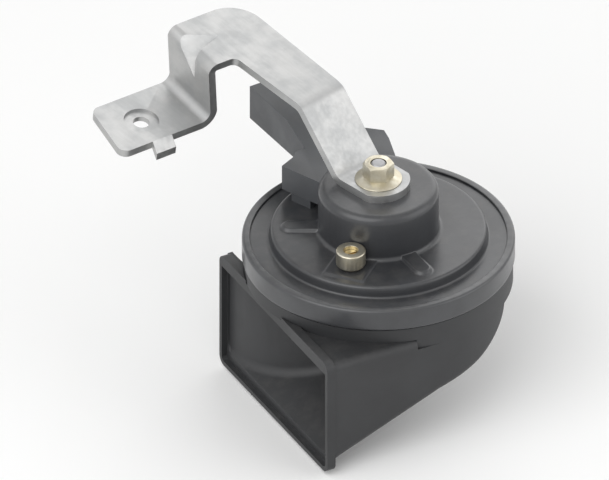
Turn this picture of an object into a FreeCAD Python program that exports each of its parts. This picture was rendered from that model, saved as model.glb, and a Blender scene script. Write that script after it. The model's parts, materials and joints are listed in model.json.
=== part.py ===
import FreeCAD, Part

import math
import os

import Sketcher

Vector = FreeCAD.Vector
Rotation = FreeCAD.Rotation
Placement = FreeCAD.Placement

# A snail horn: a drawn steel can holds the electromagnet and its contacts, a steel diaphragm is
# clamped under it by a rolled ring, and a moulded trumpet carries the sound out to one side.
# Heights are measured from the top outer edge of the rolled ring, with the can's axis as Z.
# The whole horn hangs from the bolt hole at the end of its folded strap, which is the origin.

driving_sizes = {
    # rolled ring
    "ring_lip_width": 3.0,
    "ring_thickness": 0.8,
    "ring_top": 0.7,
    "ring_depth": 8.7,
    "ring_clearance": 0.3,
    # drawn can
    "can_sheet": 1.2,
    "plateau_width": 17.25,
    "can_flange_width": 9.5,
    "plateau_lean": 0.8,
    "plateau_rise": 4.3,
    "boss_radius": 22.05,
    "boss_shoulder_width": 3.8,
    "boss_rise": 22.7,
    "boss_shoulder": 1.8,
    "boss_foot_fillet": 1.5,
    "bead_edge_gap": 3.3,
    "bead_hollow_gap": 0.8,
    "bead_width": 7.5,
    "bead_rise": 1.2,
    "bead_heading": 32.0,
    "pad_width": 16.1,
    "pad_edge_gap": 3.5,
    "pad_rise": 0.5,
    # pitch adjuster
    "adjuster_heading": -139.4,
    "adjuster_boss_gap": 0.15,
    "collar_radius": 5.4,
    "collar_bore_radius": 2.74,
    "collar_rise": 6.9,
    "collar_neck_radius": 3.9,
    "collar_foot_chamfer": 1.2,
    "collar_top_chamfer": 0.3,
    "collar_rivet_lip": 0.7,
    "collar_rivet_height": 0.5,
    "screw_clearance": 0.06,
    "screw_sink": 1.6,
    "screw_slot_width": 0.9,
    "screw_slot_depth": 1.2,
    "screw_chamfer": 0.5,
    "tip_thickness": 0.6,
    "tip_radius": 2.2,
    # magnet core, bobbin and winding
    "core_radius": 8.0,
    "core_flange_radius": 10.5,
    "core_flange_thickness": 1.2,
    "core_face": 5.8,
    "stud_radius": 2.95,
    "stud_clearance": 0.25,
    "stud_chamfer": 0.75,
    "stud_rise": 0.2,
    "bobbin_wall": 1.2,
    "bobbin_gap": 0.2,
    "bobbin_can_gap": 1.25,
    "bobbin_top_step": 2.4,
    "winding_edge_gap": 0.8,
    "winding_gap": 0.05,
    # diaphragm and armature
    "gasket_thickness": 0.8,
    "gasket_width": 7.0,
    "diaphragm_thickness": 0.4,
    "armature_radius": 8.0,
    "armature_gap": 0.6,
    "armature_chamfer": 0.5,
    "spigot_radius": 3.2,
    "spigot_clearance": 0.05,
    "clamp_washer_radius": 12.0,
    "clamp_washer_thickness": 0.8,
    "under_washer_radius": 10.0,
    "rivet_head_radius": 4.6,
    "rivet_head_height": 1.0,
    "sleeve_radius": 10.8,
    "sleeve_height": 1.7,
    # contact breaker
    "contact_heading": 65.0,
    "contact_distance": 18.0,
    "stack_wall_gap": 0.9,
    "stack_length": 12.4,
    "stack_width": 10.0,
    "stack_inner_margin": 3.2,
    "stack_outer_margin": 2.7,
    "stack_rivet_radius": 1.5,
    "stack_rivet_head_radius": 2.6,
    "stack_rivet_head_height": 0.6,
    "bush_wall": 1.0,
    "bush_play": 0.05,
    "arm_bush_wall": 0.6,
    "arm_bush_play": 0.3,
    "arm_thickness": 0.3,
    "arm_free_play": 0.1,
    "arm_lift_gap": 0.3,
    "arm_ring_gap": 0.8,
    "arm_ring_width": 3.2,
    "arm_width": 7.0,
    "plate_thickness": 0.6,
    "plate_ring_gap": 0.5,
    "plate_ring_width": 4.0,
    "contact_radius": 1.6,
    "contact_height": 0.4,
    "contact_rivet_height": 0.25,
    # strap, washer and nut
    "strap_thickness": 3.0,
    "strap_width": 21.0,
    "strap_heading": 105.6,
    "strap_end_radius": 11.6,
    "strap_flat": 10.4,
    "strap_rise_angle": 48.1,
    "strap_rise": 22.2,
    "strap_bend_radius": 4.0,
    "strap_top_slope": 7.5,
    "strap_turn": 81.9,
    "strap_elbow_start": 45.5,
    "strap_elbow_flare": 2.2,
    "tab_near_edge": 32.8,
    "tab_far_edge": 58.8,
    "tab_shift": 3.5,
    "tab_web": 26.9,
    "tab_drop": 22.5,
    "tab_top_fold_radius": 0.8,
    "tab_fold_radius": 3.6,
    "tab_end_near": 66.2,
    "tab_end_far": 61.8,
    "tab_hole_reach": 48.9,
    "tab_hole_across": 41.4,
    "tab_hole_radius": 3.05,
    "tab_dish_radius": 6.55,
    "tab_dish_depth": 1.0,
    "lug_start": 43.8,
    "lug_width": 8.6,
    "lug_reach": 3.3,
    "lug_fall": 3.4,
    "gusset_across": 48.0,
    "gusset_width": 13.0,
    "gusset_reach": 13.2,
    "gusset_fall": 10.6,
    "gusset_back_lean": 2.1,
    "gusset_low_lean": 7.2,
    "washer_radius": 8.7,
    "washer_edge": 0.4,
    "washer_rise": 1.5,
    "washer_sheet": 0.8,
    "nut_flats": 10.0,
    "nut_height": 5.6,
    "nut_turn": -28.0,
    "nut_chamfer": 0.45,
    "thread_play": 0.05,
    # trumpet
    "collar_inset": 0.7,
    "neck_step": 2.9,
    "trumpet_wall": 2.4,
    "collar_depth": 9.3,
    "collar_shoulder": 2.0,
    "collar_seat_gap": 0.2,
    "chamber_edge": 4.3,
    "chamber_depth": 2.7,
    "throat_radius": 6.0,
    "floor_thickness": 2.0,
    "passage_wall": 2.0,
    "passage_start": -13.0,
    "passage_stop": -6.0,
    "passage_end": 24.0,
    "spiral_start": 15.0,
    "spiral_heading": 225.0,
    "spiral_turn": 205.0,
    "collar_notch": -9.8,
    "duct_top": -15.0,
    "shelf_top": -13.6,
    "shelf_edge_radius": 3.0,
    "mouth_front": -47.6,
    "mouth_flange": 3.4,
    "mouth_near": -49.8,
    "mouth_far": 34.2,
    "mouth_top": -12.3,
    "mouth_bottom": -60.0,
    "mouth_corner": 3.5,
    "mouth_lip": 1.8,
    "scoop_slope": 21.7,
    "scoop_bend": 0.0,
    "scoop_end": 33.2,
    "scoop_edge_radius": 4.0,
    "scoop_inner_wall": -9.5,
    "scoop_floor": 3.4,
    "cover_fit": 0.2,
    "flare_start": -20.0,
    "flare_middle_x": -33.9,
    "flare_middle_y": 5.7,
    "flare_end_x": -42.2,
    "flare_wall_x": 1.9,
    "flare_wall_y": 1.4,
    "flare_wall_end": 2.3,
    "mouth_recess": 2.2,
    "transfer_start": -2.0,
    # connector
    "socket_heading": 94.0,
    "saddle_bottom": 7.6,
    "saddle_top": 17.7,
    "saddle_boss_inset": 0.05,
    "saddle_boss_overlap": 2.75,
    "saddle_overhang": 1.7,
    "saddle_shift": 2.7,
    "saddle_boss_gap": 0.6,
    "saddle_foot_length": 8.7,
    "saddle_foot_wall": 3.0,
    "saddle_back_foot_wall": 1.6,
    "saddle_foot_start": 4.5,
    "saddle_foot_lean": 20.1,
    "saddle_back_foot_lean": 19.3,
    "saddle_corner": 5.3,
    "saddle_front_inset": 5.9,
    "saddle_side_corner": 10.6,
    "saddle_side_lean": 1.2,
    "saddle_chamfer": 2.5,
    "saddle_chamfer_start": 6.8,
    "saddle_chamfer_end": 9.0,
    "socket_shift": 3.7,
    "socket_width": 20.0,
    "socket_height": 14.0,
    "socket_bottom": 9.5,
    "socket_length": 37.6,
    "socket_depth": 20.0,
    "socket_wall": 1.7,
    "socket_root": 3.0,
    "socket_slope": 12.2,
    "socket_slope_drop": 1.0,
    "blade_width": 2.8,
    "blade_thickness": 0.8,
    "blade_spacing": 7.0,
    "blade_free": 11.0,
    "board_inset": 3.8,
    "board_front_gap": 3.4,
    "board_back_gap": 7.0,
    "board_boss_gap": 0.2,
}


class Size:
    # A length with its number and the sheet expression that it comes from.
    def __init__(self, value, text):
        self.value = value
        self.text = text

    def __add__(self, other):
        other = as_size(other)
        return Size(self.value + other.value, f"({self.text} + {other.text})")

    def __sub__(self, other):
        other = as_size(other)
        return Size(self.value - other.value, f"({self.text} - {other.text})")

    def __mul__(self, other):
        other = as_size(other)
        return Size(self.value * other.value, f"({self.text} * {other.text})")

    def __truediv__(self, other):
        other = as_size(other)
        return Size(self.value / other.value, f"({self.text} / {other.text})")

    def __neg__(self):
        return Size(-self.value, f"(0 - {self.text})")

    def __radd__(self, other):
        return as_size(other) + self

    def __rsub__(self, other):
        return as_size(other) - self

    def __rmul__(self, other):
        return as_size(other) * self


def as_size(number):
    return number if isinstance(number, Size) else Size(float(number), str(number))


def cosine(angle):
    angle = as_size(angle)
    return Size(math.cos(math.radians(angle.value)), f"cos({angle.text} * 1deg)")


def sine(angle):
    angle = as_size(angle)
    return Size(math.sin(math.radians(angle.value)), f"sin({angle.text} * 1deg)")


document = FreeCAD.newDocument("car_horn")
sheet = document.addObject("Spreadsheet::Sheet", "Sizes")
for row, (alias, number) in enumerate(driving_sizes.items(), start=1):
    sheet.set(f"A{row}", alias)
    sheet.set(f"B{row}", str(number))
    sheet.setAlias(f"B{row}", alias)
document.recompute()


class Sizes:
    # Holds each driving size under its sheet alias.
    pass


size = Sizes()
for alias in driving_sizes:
    setattr(size, alias, Size(float(sheet.get(alias)), f"Sizes.{alias}"))

# Radii from the can's boss out to the rolled ring, and back in to the trumpet that it holds.
boss_inner_radius = size.boss_radius - size.can_sheet
boss_flat_radius = size.boss_radius - size.boss_shoulder_width
plateau_radius = size.boss_radius + size.plateau_width
plateau_foot_radius = plateau_radius + size.plateau_lean
clamp_radius = plateau_radius + size.can_flange_width
ring_radius = clamp_radius + size.ring_clearance + size.ring_thickness
ring_lip_radius = ring_radius - size.ring_lip_width
collar_radius = ring_radius - size.collar_inset
neck_radius = collar_radius - size.neck_step

# Levels of the clamped stack, from the ring's lip down.
flange_top = size.ring_top - size.ring_thickness
flange_bottom = flange_top - size.can_sheet
diaphragm_top = flange_bottom - size.gasket_thickness
diaphragm_bottom = diaphragm_top - size.diaphragm_thickness
ring_bottom = size.ring_top - size.ring_depth
trumpet_flange_bottom = ring_bottom + size.ring_thickness

# Levels of the can.
plateau_top = flange_top + size.plateau_rise
plateau_under = plateau_top - size.can_sheet
boss_top = flange_top + size.boss_rise
boss_under = boss_top - size.can_sheet
pad_top = plateau_top + size.pad_rise
adjuster_distance = size.boss_radius + size.collar_radius + size.adjuster_boss_gap

# Levels of the strap's fastening.
strap_top = boss_top + size.strap_thickness
nut_bottom = strap_top + size.washer_rise
nut_top = nut_bottom + size.nut_height

# Levels of the armature and the contact breaker.
washer_top = diaphragm_top + size.clamp_washer_thickness
sleeve_top = washer_top + size.sleeve_height
arm_bottom = sleeve_top + size.arm_lift_gap
arm_top = arm_bottom + size.arm_thickness
plate_top = arm_bottom - size.contact_height * 2
plate_bottom = plate_top - size.plate_thickness
bush_radius = size.stack_rivet_radius + size.bush_wall

# Distances of the contact breaker's stack from the can's axis.
stack_end = plateau_radius - size.can_sheet - size.stack_wall_gap
stack_start = stack_end - size.stack_length
stack_rivets = (stack_start + size.stack_inner_margin, stack_end - size.stack_outer_margin)

# The bolt hole at the strap's end, found by following the strap from the can's axis.
arm_heading = Vector(math.cos(math.radians(size.strap_heading.value)),
                     math.sin(math.radians(size.strap_heading.value)), 0)


def strap_frame():
    # Corner of the strap's upper bend, on its top face, with the frame of its sloping top:
    # x along the arm, y to the arm's left and z out of the top face.
    rise = math.radians(size.strap_rise_angle.value)
    reach = size.strap_flat.value + size.strap_rise.value / math.tan(rise)
    height = strap_top.value + size.strap_rise.value
    corner = arm_heading * reach + Vector(0, 0, height)
    turned = Rotation(Vector(0, 0, 1), size.strap_heading.value)
    sloped = turned.multiply(Rotation(Vector(0, 1, 0), -size.strap_top_slope.value))
    return Placement(corner, sloped)


def tab_frame():
    # The same plane turned towards the tab: x along the tab and y across it, back to the can.
    return strap_frame().multiply(Placement(Vector(), Rotation(Vector(0, 0, 1), size.strap_turn.value)))


def tab_point(reach, across, depth):
    return tab_frame().multVec(Vector(reach, -across, -depth))


tab_underside = size.tab_drop.value + size.strap_thickness.value
bolt_hole = tab_point(size.tab_hole_reach.value, size.tab_hole_across.value, tab_underside)
home = Placement(bolt_hole * -1, Rotation())


def origin_plane(body, role):
    return [plane for plane in body.Origin.OriginFeatures if plane.Role == role][0]


def new_body(name, at=None, turn=0):
    # A body with its own origin on the can's axis, or at a point given as sizes (x, y, z).
    body = document.addObject("PartDesign::Body", name)
    body.Label = name
    x, y, z = at or (as_size(0), as_size(0), as_size(0))
    turned = Rotation(Vector(0, 0, 1), as_size(turn).value)
    body.Placement = Placement(Vector(x.value, y.value, z.value) - bolt_hole, turned)
    return body


def new_sketch(body, name, plane, level=0, turn=0):
    sketch = body.newObject("Sketcher::SketchObject", name)
    sketch.AttachmentSupport = [(origin_plane(body, plane), "")]
    sketch.MapMode = "FlatFace"
    level = as_size(level)
    turned = Rotation(Vector(0, 0, 1), as_size(turn).value)
    sketch.AttachmentOffset = Placement(Vector(0, 0, level.value), turned)
    sketch.setExpression("AttachmentOffset.Base.z", level.text)
    return sketch


def pin_point(sketch, geometry, end, x, y):
    for kind, along in (("DistanceX", as_size(x)), ("DistanceY", as_size(y))):
        index = sketch.addConstraint(Sketcher.Constraint(kind, -1, 1, geometry, end, along.value))
        sketch.setExpression(f"Constraints[{index}]", along.text)


def draw_outline(sketch, corners):
    # Closed outline through the corners. A corner marked "arc" is a point on the arc that joins
    # the corner before it to the corner after it.
    places = [Vector(as_size(corner[0]).value, as_size(corner[1]).value, 0) for corner in corners]
    ends = [i for i, corner in enumerate(corners) if len(corner) == 2]
    edges = []
    for here, there in zip(ends, ends[1:] + ends[:1]):
        middle = (here + 1) % len(corners)
        first, last = 1, 2
        if middle == there:
            middle = None
            edge = Part.LineSegment(places[here], places[there])
        else:
            edge = Part.Arc(places[here], places[middle], places[there])
            turn = (places[middle] - places[here]).cross(places[there] - places[middle])
            if turn.z < 0:
                # A sketch keeps every arc anticlockwise, so this one starts at its far corner.
                first, last = 2, 1
        edges.append((sketch.addGeometry(edge, False), here, middle, first, last))
    for (edge, here, middle, first, last), (following, _, _, start, _) in zip(edges, edges[1:] + edges[:1]):
        sketch.addConstraint(Sketcher.Constraint("Coincident", edge, last, following, start))
        pin_point(sketch, edge, first, *corners[here][:2])
        if middle is not None:
            guide = sketch.addGeometry(Part.Point(places[middle]), True)
            pin_point(sketch, guide, 1, *corners[middle][:2])
            sketch.addConstraint(Sketcher.Constraint("PointOnObject", guide, 1, edge))


def draw_circle(sketch, x, y, radius):
    x, y, radius = as_size(x), as_size(y), as_size(radius)
    circle = sketch.addGeometry(Part.Circle(Vector(x.value, y.value, 0), Vector(0, 0, 1), radius.value), False)
    pin_point(sketch, circle, 3, x, y)
    index = sketch.addConstraint(Sketcher.Constraint("Radius", circle, radius.value))
    sketch.setExpression(f"Constraints[{index}]", radius.text)


def draw_box(sketch, left, right, low, high):
    draw_outline(sketch, [(left, low), (right, low), (right, high), (left, high)])


def draw_slot(sketch, start, reach, width):
    # A finger along X from a straight start to a round end.
    half = as_size(width) / 2
    draw_outline(sketch, [(start, -half), (reach - half, -half), (reach, as_size(0), "arc"),
                          (reach - half, half), (start, half)])


def turned_piece(name, corners, at=None, kind="Revolution"):
    # A piece turned about Z from half of its section, given as (radius, height) corners.
    body = new_body(name, at)
    add_turned(body, f"{name}_section", corners, kind)
    return body


def add_turned(body, name, corners, kind="Revolution"):
    sketch = new_sketch(body, name, "XZ_Plane")
    draw_outline(sketch, corners)
    feature = body.newObject(f"PartDesign::{kind}", f"{name}_{kind.lower()}")
    feature.Profile = sketch
    feature.ReferenceAxis = (sketch, ["V_Axis"])
    feature.Angle = 360
    sketch.Visibility = False
    return feature


def add_pad(body, name, sketch, length):
    pad = body.newObject("PartDesign::Pad", name)
    pad.Profile = sketch
    length = as_size(length)
    pad.Length = length.value
    pad.setExpression("Length", length.text)
    return pad


def add_pocket(body, name, sketch, depth, upward=False):
    # Cuts down from the sketch, or up where asked, and makes sure that something is cut.
    document.recompute()
    before = body.Shape.Volume
    pocket = body.newObject("PartDesign::Pocket", name)
    pocket.Profile = sketch
    depth = as_size(depth)
    pocket.Length = depth.value
    pocket.setExpression("Length", depth.text)
    pocket.Reversed = upward
    document.recompute()
    if body.Shape.Volume >= before:
        raise RuntimeError(f"{name} cuts nothing")
    return pocket


def add_hole(body, name, level, depth, x, y, radius, upward=True):
    sketch = new_sketch(body, f"{name}_circle", "XY_Plane", level)
    draw_circle(sketch, x, y, radius)
    return add_pocket(body, name, sketch, depth, upward)


def polar(distance, heading):
    distance = as_size(distance)
    return distance * cosine(heading), distance * sine(heading)


def ring_section(inner, outer, low, high):
    return [(inner, low), (outer, low), (outer, high), (inner, high)]


# Drawn steel can: clamping flange, flat plateau and the tall boss round the magnet.
def make_can():
    t = size.can_sheet
    fillet = size.boss_foot_fillet
    bend = 1 - math.sqrt(0.5)
    foot = size.boss_radius + fillet
    shoulder = boss_top - size.boss_shoulder
    shoulder_width = size.boss_radius - boss_flat_radius
    can = turned_piece("horn_can", [
        (clamp_radius, flange_bottom),
        (clamp_radius, flange_top),
        (plateau_foot_radius, flange_top),
        (plateau_radius, plateau_top),
        (foot, plateau_top),
        (size.boss_radius + fillet * bend, plateau_top + fillet * bend, "arc"),
        (size.boss_radius, plateau_top + fillet),
        (size.boss_radius, shoulder),
        (boss_flat_radius + shoulder_width * 0.72, boss_top - size.boss_shoulder * 0.3, "arc"),
        (boss_flat_radius, boss_top),
        (size.stud_radius + size.stud_clearance, boss_top),
        (size.stud_radius + size.stud_clearance, boss_under),
        (boss_flat_radius - t / 3, boss_under),
        (boss_flat_radius - t / 3 + shoulder_width * 0.66, boss_under - size.boss_shoulder * 0.25, "arc"),
        (boss_inner_radius, shoulder - t / 3),
        (boss_inner_radius, plateau_top + fillet),
        (foot - (fillet + t) * math.sqrt(0.5), plateau_top + fillet - (fillet + t) * math.sqrt(0.5), "arc"),
        (foot, plateau_under),
        (plateau_radius - t, plateau_under),
        (plateau_foot_radius - t, flange_bottom),
    ])
    bead_reach = plateau_radius - size.bead_edge_gap
    ribs = new_sketch(can, "bead_outline", "XY_Plane", plateau_top, size.bead_heading)
    draw_slot(ribs, size.boss_radius - t / 2, bead_reach, size.bead_width)
    raised = add_pad(can, "raised_bead", ribs, size.bead_rise)
    hollow = new_sketch(can, "bead_hollow_outline", "XY_Plane", plateau_under, size.bead_heading)
    draw_slot(hollow, foot + size.bead_hollow_gap, bead_reach - t, size.bead_width - t * 2)
    pressed = add_pocket(can, "bead_hollow", hollow, size.bead_rise, True)
    pattern = can.newObject("PartDesign::PolarPattern", "three_beads")
    pattern.Originals = [raised, pressed]
    pattern.Axis = (origin_plane(can, "Z_Axis"), [""])
    pattern.Angle = 360
    pattern.Occurrences = 3
    can.Tip = pattern
    flat = new_sketch(can, "adjuster_pad_outline", "XY_Plane", plateau_top - t / 2, size.adjuster_heading)
    draw_box(flat, size.boss_radius - t / 2, plateau_radius - size.pad_edge_gap,
             -size.pad_width / 2, size.pad_width / 2)
    add_pad(can, "adjuster_pad", flat, size.pad_rise + t / 2)
    add_hole(can, "adjuster_hole", plateau_under, size.plateau_rise,
             *polar(adjuster_distance, size.adjuster_heading), size.collar_neck_radius)
    for name, distance in zip(("inner", "outer"), stack_rivets):
        add_hole(can, f"{name}_rivet_hole", plateau_under - 1, size.plateau_rise,
                 *polar(distance, size.contact_heading), bush_radius)
    return can


# Steel ring rolled over the can's flange and under the trumpet's, which holds them together.
def make_ring():
    t = size.ring_thickness
    outer = ring_radius
    inner = outer - t
    bend = t * (1 - math.sqrt(0.5))
    under = neck_radius + size.ring_clearance
    turned_piece("rolled_ring", [
        (ring_lip_radius, flange_top),
        (inner, flange_top),
        (inner, trumpet_flange_bottom),
        (under, trumpet_flange_bottom),
        (under, ring_bottom),
        (inner, ring_bottom),
        (outer - bend, ring_bottom + bend, "arc"),
        (outer, ring_bottom + t),
        (outer, size.ring_top - t),
        (outer - bend, size.ring_top - bend, "arc"),
        (inner, size.ring_top),
        (ring_lip_radius, size.ring_top),
    ])


def make_diaphragm_group():
    inner = clamp_radius - size.gasket_width
    turned_piece("diaphragm_gasket", ring_section(inner, clamp_radius, diaphragm_top, flange_bottom))
    hole = size.spigot_radius + size.spigot_clearance
    turned_piece("diaphragm", ring_section(hole, clamp_radius, diaphragm_bottom, diaphragm_top))
    turned_piece("upper_clamp_washer", ring_section(hole, size.clamp_washer_radius, diaphragm_top, washer_top))
    under = diaphragm_bottom - size.clamp_washer_thickness
    turned_piece("lower_clamp_washer", ring_section(hole, size.under_washer_radius, under, diaphragm_bottom))
    top = size.core_face - size.armature_gap
    chamfer = size.armature_chamfer
    turned_piece("armature", [
        (as_size(0), under - size.rivet_head_height),
        (size.rivet_head_radius * 0.75, under - size.rivet_head_height),
        (size.rivet_head_radius, under - size.rivet_head_height / 2),
        (size.rivet_head_radius, under),
        (size.spigot_radius, under),
        (size.spigot_radius, washer_top),
        (size.armature_radius, washer_top),
        (size.armature_radius, top - chamfer),
        (size.armature_radius - chamfer, top),
        (as_size(0), top),
    ])
    turned_piece("armature_sleeve", ring_section(size.armature_radius + size.spigot_clearance,
                                                 size.sleeve_radius, washer_top, sleeve_top))


# Fixed core with the strap's stud, the moulded bobbin round it and the copper winding.
def make_magnet():
    stud_top = nut_top + size.stud_rise
    flange_level = size.core_face + size.core_flange_thickness
    turned_piece("magnet_core", [
        (as_size(0), size.core_face),
        (size.core_flange_radius, size.core_face),
        (size.core_flange_radius, flange_level),
        (size.core_radius, flange_level),
        (size.core_radius, boss_under),
        (size.stud_radius, boss_under),
        (size.stud_radius, stud_top - size.stud_chamfer),
        (size.stud_radius - size.stud_chamfer, stud_top),
        (as_size(0), stud_top),
    ])
    hub_inner = size.core_radius + size.bobbin_gap
    hub_outer = hub_inner + size.bobbin_wall
    low_web = flange_level + size.bobbin_wall
    high_web = boss_under - size.bobbin_wall
    flange_radius = boss_inner_radius - size.bobbin_can_gap
    top_flange_radius = flange_radius - size.bobbin_top_step
    turned_piece("coil_bobbin", [
        (hub_inner, flange_level),
        (flange_radius, flange_level),
        (flange_radius, low_web),
        (hub_outer, low_web),
        (hub_outer, high_web),
        (top_flange_radius, high_web),
        (top_flange_radius, boss_under),
        (hub_inner, boss_under),
    ])
    turned_piece("coil_winding", ring_section(hub_outer + size.winding_gap, top_flange_radius - size.winding_edge_gap,
                                              low_web, high_web))


# Threaded collar riveted into the can, with its slotted screw and an insulating tip.
def make_adjuster():
    x, y = polar(adjuster_distance, size.adjuster_heading)
    at = (x, y, as_size(0))
    collar_top = pad_top + size.collar_rise
    neck_end = plateau_under - size.collar_rivet_height
    turned_piece("adjuster_collar", [
        (size.collar_bore_radius, neck_end),
        (size.collar_neck_radius + size.collar_rivet_lip, neck_end),
        (size.collar_neck_radius + size.collar_rivet_lip, plateau_under),
        (size.collar_neck_radius, plateau_under),
        (size.collar_neck_radius, pad_top),
        (size.collar_radius - size.collar_foot_chamfer, pad_top),
        (size.collar_radius, pad_top + size.collar_foot_chamfer),
        (size.collar_radius, collar_top - size.collar_top_chamfer),
        (size.collar_radius - size.collar_top_chamfer, collar_top),
        (size.collar_bore_radius, collar_top),
    ], at)
    radius = size.collar_bore_radius - size.screw_clearance
    tip_top = plate_top + size.tip_thickness
    screw_top = collar_top - size.screw_sink
    screw = turned_piece("adjusting_screw", [
        (as_size(0), tip_top),
        (radius - size.screw_chamfer, tip_top),
        (radius, tip_top + size.screw_chamfer),
        (radius, screw_top),
        (as_size(0), screw_top),
    ], at)
    slot = new_sketch(screw, "driver_slot_outline", "XY_Plane", screw_top)
    draw_box(slot, radius * -1.2, radius * 1.2, -size.screw_slot_width / 2, size.screw_slot_width / 2)
    add_pocket(screw, "driver_slot", slot, size.screw_slot_depth)
    turned_piece("screw_tip", [
        (as_size(0), plate_top),
        (size.tip_radius, plate_top),
        (size.tip_radius, tip_top),
        (as_size(0), tip_top),
    ], at)


# Normally closed contacts: a stiff plate, a spring arm above it and the riveted insulators that
# hold both under the can, all laid out along the contact heading.
def make_breaker():
    half = size.stack_width / 2
    origin = (as_size(0), as_size(0), as_size(0))

    def leaf(name, low, thickness, inner, outer, width, fingers, hole):
        body = new_body(name, origin, size.contact_heading)
        hoop = new_sketch(body, f"{name}_hoop", "XY_Plane", low)
        draw_circle(hoop, 0, 0, outer)
        draw_circle(hoop, 0, 0, inner)
        add_pad(body, f"{name}_ring", hoop, thickness)
        bar = new_sketch(body, f"{name}_bar_outline", "XY_Plane", low)
        draw_box(bar, (inner + outer) / 2, stack_start + 1, -width / 2, width / 2)
        add_pad(body, f"{name}_bar", bar, thickness)
        root = new_sketch(body, f"{name}_root_outline", "XY_Plane", low)
        draw_box(root, stack_start, stack_end, -half, half)
        add_pad(body, f"{name}_root", root, thickness)
        for number, (reach, turn) in enumerate(fingers):
            finger = new_sketch(body, f"{name}_finger_{number}_outline", "XY_Plane", low, turn)
            draw_slot(finger, (inner + outer) / 2, reach, width)
            add_pad(body, f"{name}_finger_{number}", finger, thickness)
        for number, distance in enumerate(stack_rivets):
            add_hole(body, f"{name}_rivet_hole_{number}", low, thickness, distance, 0, hole)
        add_hole(body, f"{name}_contact_hole", low, thickness, -size.contact_distance, 0,
                 size.contact_radius / 2)
        return body

    opposite = as_size(180)
    arm_bush_radius = size.stack_rivet_radius + size.arm_bush_wall
    arm_inner = size.armature_radius + size.arm_ring_gap
    leaf("contact_arm", arm_bottom, size.arm_thickness, arm_inner,
         arm_inner + size.arm_ring_width, size.arm_width,
         [(size.contact_distance + size.arm_width / 2, opposite)], arm_bush_radius + size.arm_bush_play)
    plate_inner = size.clamp_washer_radius + size.plate_ring_gap
    leaf("fixed_contact_plate", plate_bottom, size.plate_thickness, plate_inner,
         plate_inner + size.plate_ring_width, size.arm_width,
         [(size.contact_distance + size.arm_width / 2, opposite),
          (adjuster_distance + size.arm_width / 2, size.adjuster_heading - size.contact_heading)],
         size.stack_rivet_radius)

    shank = size.contact_radius / 2
    head = size.contact_radius * 0.8
    x, y = polar(-size.contact_distance, size.contact_heading)
    at = (x, y, as_size(0))
    turned_piece("moving_contact", [
        (as_size(0), arm_bottom - size.contact_height),
        (size.contact_radius, arm_bottom - size.contact_height),
        (size.contact_radius, arm_bottom),
        (shank, arm_bottom),
        (shank, arm_top),
        (head, arm_top),
        (head, arm_top + size.contact_rivet_height),
        (as_size(0), arm_top + size.contact_rivet_height),
    ], at)
    turned_piece("fixed_contact", [
        (as_size(0), plate_bottom - size.contact_rivet_height),
        (head, plate_bottom - size.contact_rivet_height),
        (head, plate_bottom),
        (shank, plate_bottom),
        (shank, plate_top),
        (size.contact_radius, plate_top),
        (size.contact_radius, plate_top + size.contact_height),
        (as_size(0), plate_top + size.contact_height),
    ], at)

    def block(name, low, high, peg_radius, boss_end):
        body = new_body(name, origin, size.contact_heading)
        outline = new_sketch(body, f"{name}_outline", "XY_Plane", low)
        draw_box(outline, stack_start, stack_end, -half, half)
        add_pad(body, f"{name}_block", outline, high - low)
        for number, distance in enumerate(stack_rivets):
            boss = new_sketch(body, f"{name}_boss_{number}_outline", "XY_Plane", low)
            draw_circle(boss, distance, 0, peg_radius)
            add_pad(body, f"{name}_boss_{number}", boss, boss_end - low)
        for number, distance in enumerate(stack_rivets):
            add_hole(body, f"{name}_hole_{number}", low, boss_end - low, distance, 0, size.stack_rivet_radius)
        return body

    block("middle_insulator", plate_top, arm_bottom - size.arm_free_play,
          arm_bush_radius, arm_top + size.arm_free_play)
    block("upper_insulator", arm_top + size.arm_free_play, plateau_under, bush_radius - size.bush_play, plateau_top)
    foot_top = plateau_top + size.blade_thickness * 2
    for name, distance in zip(("inner", "outer"), stack_rivets):
        x, y = polar(distance, size.contact_heading)
        turned_piece(f"{name}_stack_rivet", [
            (as_size(0), plate_bottom - size.stack_rivet_head_height),
            (size.stack_rivet_head_radius, plate_bottom - size.stack_rivet_head_height),
            (size.stack_rivet_head_radius, plate_bottom),
            (size.stack_rivet_radius, plate_bottom),
            (size.stack_rivet_radius, foot_top),
            (size.stack_rivet_head_radius, foot_top),
            (size.stack_rivet_head_radius, foot_top + size.stack_rivet_head_height),
            (as_size(0), foot_top + size.stack_rivet_head_height),
        ], (x, y, as_size(0)))


def make_strap_fastening():
    hole = size.stud_radius + size.stud_clearance
    turned_piece("cone_washer", [
        (size.washer_radius - size.washer_sheet, strap_top),
        (size.washer_radius, strap_top),
        (size.washer_radius, strap_top + size.washer_edge),
        (size.nut_flats * 0.58, nut_bottom),
        (hole, nut_bottom),
        (hole, nut_bottom - size.washer_sheet),
        (size.nut_flats * 0.54, nut_bottom - size.washer_sheet),
    ])
    nut = new_body("strap_nut", (as_size(0), as_size(0), as_size(0)), size.nut_turn)
    hexagon = new_sketch(nut, "nut_outline", "XY_Plane", nut_bottom)
    corner = size.nut_flats / math.sqrt(3)
    draw_outline(hexagon, [polar(corner, 60 * i) for i in range(6)])
    draw_circle(hexagon, 0, 0, size.stud_radius + size.thread_play)
    add_pad(nut, "nut_prism", hexagon, size.nut_height)
    add_turned(nut, "nut_chamfer", [
        (size.nut_flats * 0.5, nut_top),
        (corner + 0.1, nut_top - size.nut_chamfer),
        (corner + 0.1, nut_top),
    ], "Groove")


def add_shape(name, shape):
    # A moulded or folded piece whose shape is worked out above in plain numbers.
    piece = document.addObject("Part::Feature", name)
    piece.Label = name
    piece.Shape = shape.removeSplitter()
    piece.Placement = home.multiply(piece.Placement)
    return piece


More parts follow.
